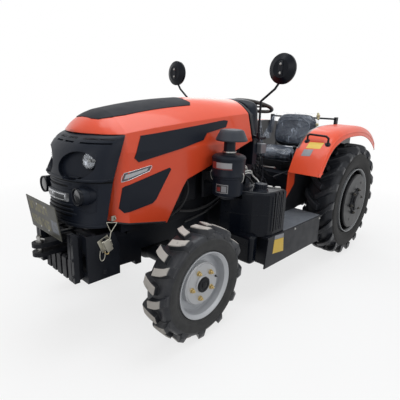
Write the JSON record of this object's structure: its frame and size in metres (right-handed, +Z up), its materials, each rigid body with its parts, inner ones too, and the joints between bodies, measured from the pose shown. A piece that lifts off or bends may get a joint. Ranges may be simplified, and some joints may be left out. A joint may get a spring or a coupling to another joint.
{
  "type": "greenhouse tractor",
  "caption": "Low, narrow four-wheel-drive tractor with a tilting one-piece hood, steered front wheels, a rear three-point lift, low fenders and a front weight rack.",
  "frame": {"origin": "on the ground, in the middle of the overall length and width", "axes": "+X forwards, +Y to the tractor's left, +Z up; the wheels spin about +Y"},
  "size_m": [3.7349, 1.53, 1.817],
  "materials": {
    "orange_paint": "gloss paint, orange red",
    "black_panel": "satin black moulding",
    "soft_black": "matt black moulding",
    "cast_black": "black paint over casting",
    "frame_black": "satin black paint",
    "tyre_rubber": "dusty rubber",
    "rim_silver": "silver grey paint",
    "seat_cover": "dark cover under film",
    "lens": "clear lens",
    "lamp_red": "red lens",
    "plate_face": "blank, dull olive",
    "steel_bright": "machined steel",
    "grip_brown": "dark brown grip",
    "silver_bar": "silver plastic, blank"
  },
  "bodies": {
    "chassis": {"rear_housing": "cast_black", "gearbox": "cast_black", "engine_block": "cast_black", "front_frame": "frame_black", "radiator": "frame_black", "front_axle": "cast_black", "front_rack": "frame_black", "front_weights": "cast_black", "tow_fork": "cast_black", "tow_pin": "steel_bright", "plate_bracket": "frame_black", "number_plate": "plate_face", "steps": "frame_black", "seat_platform": "frame_black", "fender_left": "orange_paint", "fender_right": "orange_paint", "rails": "frame_black", "rear_lamps": "lamp_red", "seat_base": "frame_black", "seat": "seat_cover", "cowl": "black_panel", "mirrors": "black_panel", "pedals": "frame_black", "levers": "frame_black", "fuel_tank": "black_panel", "battery_box": "black_panel", "air_cleaner": "black_panel", "fuel_filter": "silver_bar", "exhaust": "frame_black", "drawbar": "frame_black"},
    "hood": {"hood": "orange_paint", "hood_insert": "soft_black", "hood_panels": "black_panel", "nose_cap": "black_panel", "grille_fascia": "black_panel", "head_lamps": "lens", "work_lamps": "black_panel", "emblem_bar": "silver_bar"},
    "steering_wheel": {"steering_wheel": "grip_brown"},
    "knuckle_left": {"knuckle_left": "cast_black"},
    "knuckle_right": {"knuckle_right": "cast_black"},
    "track_rod": {"track_rod": "frame_black"},
    "wheel_front_left": {"tyre_front_left": "tyre_rubber", "rim_front_left": "rim_silver"},
    "wheel_front_right": {"tyre_front_right": "tyre_rubber", "rim_front_right": "rim_silver"},
    "wheel_rear_left": {"tyre_rear_left": "tyre_rubber", "rim_rear_left": "rim_silver"},
    "wheel_rear_right": {"tyre_rear_right": "tyre_rubber", "rim_rear_right": "rim_silver"},
    "lift_arms": {"lift_arms": "cast_black"},
    "lift_rods": {"lift_rods": "cast_black"},
    "lower_links": {"lower_links": "cast_black"}
  },
  "joints": [
    {"name": "hood_hinge", "type": "hinge", "parent": "chassis", "child": "hood", "pos_m": [0.2395, 0, 1.476], "axis": [0, -1, 0], "range_deg": [0, 50]},
    {"name": "steer_left", "type": "hinge", "parent": "chassis", "child": "knuckle_left", "pos_m": [1.1025, 0.43, 0.375], "axis": [0, 0, 1], "range_deg": [-42, 42]},
    {"name": "steer_right", "type": "hinge", "parent": "chassis", "child": "knuckle_right", "pos_m": [1.1025, -0.43, 0.375], "axis": [0, 0, 1], "range_deg": [-43, 43]},
    {"name": "track_rod_pivot", "type": "hinge", "parent": "knuckle_left", "child": "track_rod", "pos_m": [0.9525, 0.43, 0.286], "axis": [0, 0, 1], "range_deg": [-43, 43]},
    {"name": "steering_wheel_turn", "type": "hinge", "parent": "chassis", "child": "steering_wheel", "pos_m": [-0.1475, 0, 1.45], "axis": [-0.2588, 0, 0.9659], "range_deg": [-570, 570]},
    {"name": "spin_front_left", "type": "hinge", "parent": "knuckle_left", "child": "wheel_front_left", "pos_m": [1.1025, 0.57, 0.375], "axis": [0, 1, 0], "continuous": true},
    {"name": "spin_front_right", "type": "hinge", "parent": "knuckle_right", "child": "wheel_front_right", "pos_m": [1.1025, -0.57, 0.375], "axis": [0, 1, 0], "continuous": true},
    {"name": "spin_rear_left", "type": "hinge", "parent": "chassis", "child": "wheel_rear_left", "pos_m": [-0.9975, 0.582, 0.562], "axis": [0, 1, 0], "continuous": true},
    {"name": "spin_rear_right", "type": "hinge", "parent": "chassis", "child": "wheel_rear_right", "pos_m": [-0.9975, -0.582, 0.562], "axis": [0, 1, 0], "continuous": true},
    {"name": "lift_shaft", "type": "hinge", "parent": "chassis", "child": "lift_arms", "pos_m": [-1.1175, 0, 0.88], "axis": [0, 1, 0], "range_deg": [-12, 28]},
    {"name": "lift_rod_top", "type": "hinge", "parent": "lift_arms", "child": "lift_rods", "pos_m": [-1.4175, 0, 0.88], "axis": [0, 1, 0], "range_deg": [-29, 13]},
    {"name": "lower_link_pivot", "type": "hinge", "parent": "chassis", "child": "lower_links", "pos_m": [-1.1175, 0, 0.4], "axis": [0, 1, 0], "range_deg": [-13, 29]}
  ],
  "couplings": [
    {"joint": "steer_right", "follows": "steer_left", "ratio": 1},
    {"joint": "track_rod_pivot", "follows": "steer_left", "ratio": -1},
    {"joint": "steering_wheel_turn", "follows": "steer_left", "ratio": 13.5},
    {"joint": "lift_rod_top", "follows": "lift_shaft", "ratio": -1},
    {"joint": "lower_link_pivot", "follows": "lift_shaft", "ratio": 1}
  ]
}
